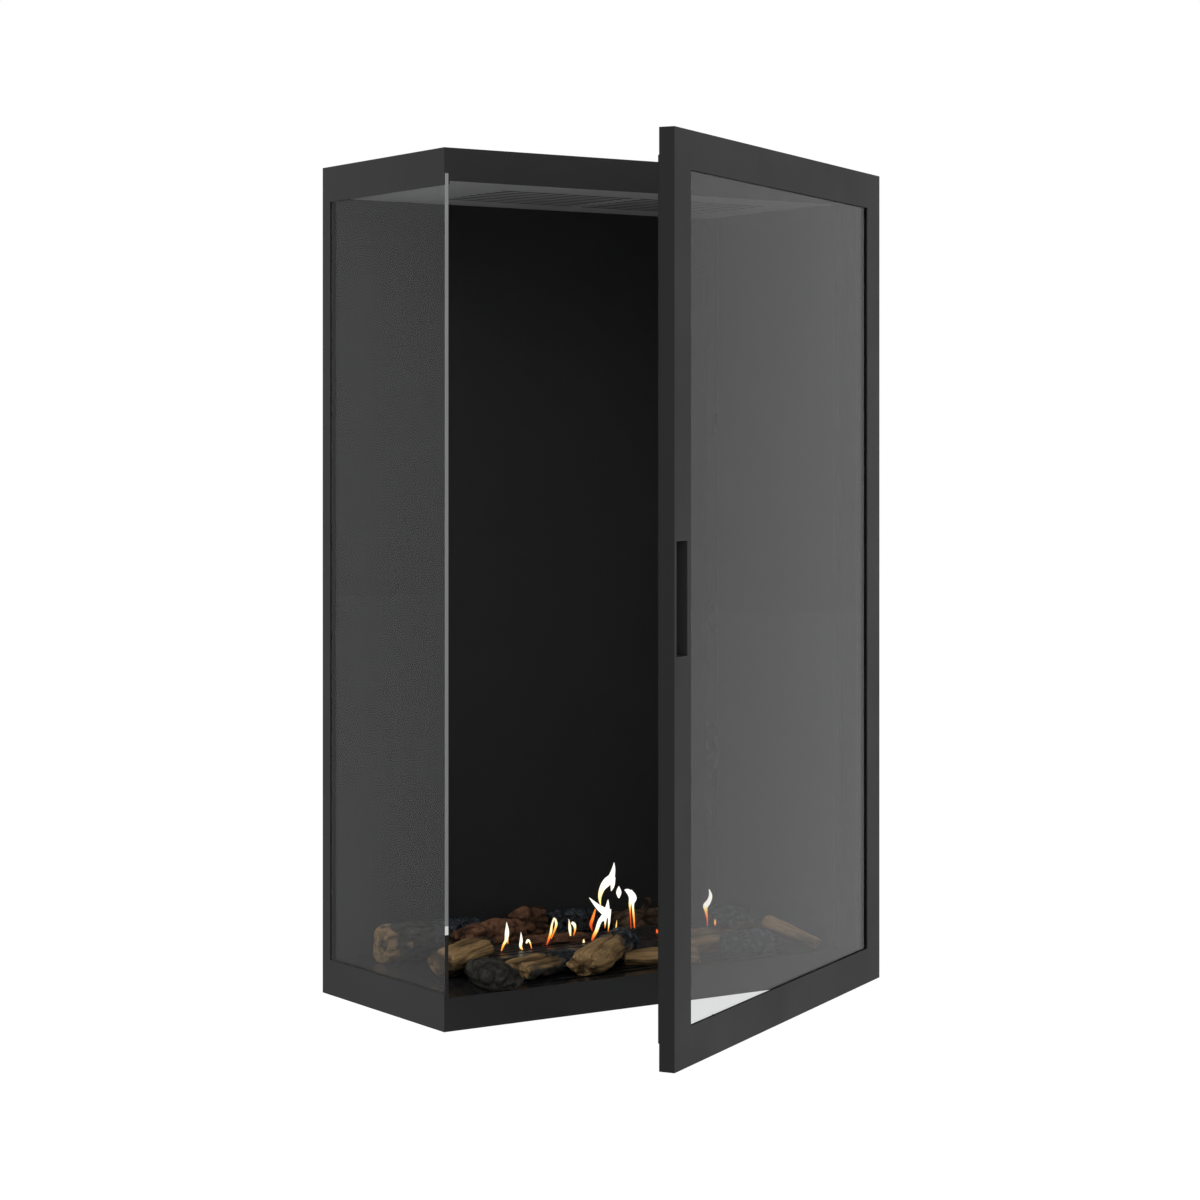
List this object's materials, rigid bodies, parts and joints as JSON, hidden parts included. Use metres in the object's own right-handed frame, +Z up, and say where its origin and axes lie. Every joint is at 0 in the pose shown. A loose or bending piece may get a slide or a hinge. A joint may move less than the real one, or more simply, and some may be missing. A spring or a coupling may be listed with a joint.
{
  "type": "gas corner fireplace",
  "caption": "Tall steel gas fireplace for a corner, with fixed side glass, a hinged glazed front door, a ceramic log bed over a tray burner and a concentric balanced flue outlet on top.",
  "frame": {"origin": "centre of the casing's footprint on its underside, at floor level", "axes": "+X to the right along the front as seen from the front, +Y to the back, +Z up"},
  "size_m": [0.6582, 0.6468, 1.068],
  "materials": {
    "coated_steel": "matt black fine-textured heatproof powder coat",
    "firebox_steel": "matt black heatproof paint",
    "plain_steel": "plain zinc-plated or bare steel",
    "fire_glass": "clear heatproof glass",
    "black_glass": "glossy black glass liner, opaque",
    "gasket_rope": "black woven glass-fibre rope or tape",
    "insulation_board": "ceramic fibre board",
    "brass_fitting": "machined brass",
    "log_ceramic": "moulded ceramic fibre painted as bark, split wood and char"
  },
  "bodies": {
    "casing": {"back_liner": "firebox_steel", "base_pan": "coated_steel", "burner_cover": "firebox_steel", "burner_injector": "brass_fitting", "burner_tray": "firebox_steel", "casing_screws": "plain_steel", "ceiling_plate": "firebox_steel", "charcoal_chunks": "log_ceramic", "exhaust_hood": "firebox_steel", "fire_floor": "firebox_steel", "flue_collar_inner": "plain_steel", "flue_collar_outer": "plain_steel", "gas_inlet": "brass_fitting", "gas_pipe": "plain_steel", "glass_channel_lower": "coated_steel", "glass_channel_upper": "coated_steel", "hinge_bracket_lower": "coated_steel", "hinge_bracket_upper": "coated_steel", "hinge_pins": "plain_steel", "hinge_post": "coated_steel", "ignition_electrode": "plain_steel", "liner_corner_strip": "coated_steel", "log_bark_board": "log_ceramic", "log_bark_left": "log_ceramic", "log_bark_rear": "log_ceramic", "log_block": "log_ceramic", "log_corner_slab": "log_ceramic", "log_front_centre": "log_ceramic", "log_front_dark": "log_ceramic", "log_front_left": "log_ceramic", "log_front_right": "log_ceramic", "log_leaning": "log_ceramic", "log_rear_charred": "log_ceramic", "log_rear_left": "log_ceramic", "log_rear_right": "log_ceramic", "log_right_bark": "log_ceramic", "log_right_split": "log_ceramic", "pilot_bracket": "plain_steel", "pilot_burner": "plain_steel", "post_gasket": "gasket_rope", "rear_insulation": "insulation_board", "rear_left_post": "coated_steel", "rear_panel": "coated_steel", "right_inner_panel": "firebox_steel", "right_liner": "black_glass", "right_panel": "coated_steel", "side_glass": "fire_glass", "side_glass_seal": "gasket_rope", "thermocouple": "plain_steel", "top_cap": "coated_steel"},
    "door": {"door_frame": "coated_steel", "door_glass": "fire_glass", "glass_tape": "gasket_rope", "glass_retainers_upright": "coated_steel", "glass_retainers_level": "coated_steel", "retainer_screws": "plain_steel", "door_seal": "gasket_rope", "door_pull": "coated_steel", "hinge_blocks": "plain_steel", "door_magnets": "plain_steel"}
  },
  "joints": [
    {"name": "door_hinge", "type": "hinge", "parent": "casing", "child": "door", "pos_m": [0.32, -0.161, 0.53], "axis": [0, 0, 1], "range_deg": [-30, 60]}
  ]
}
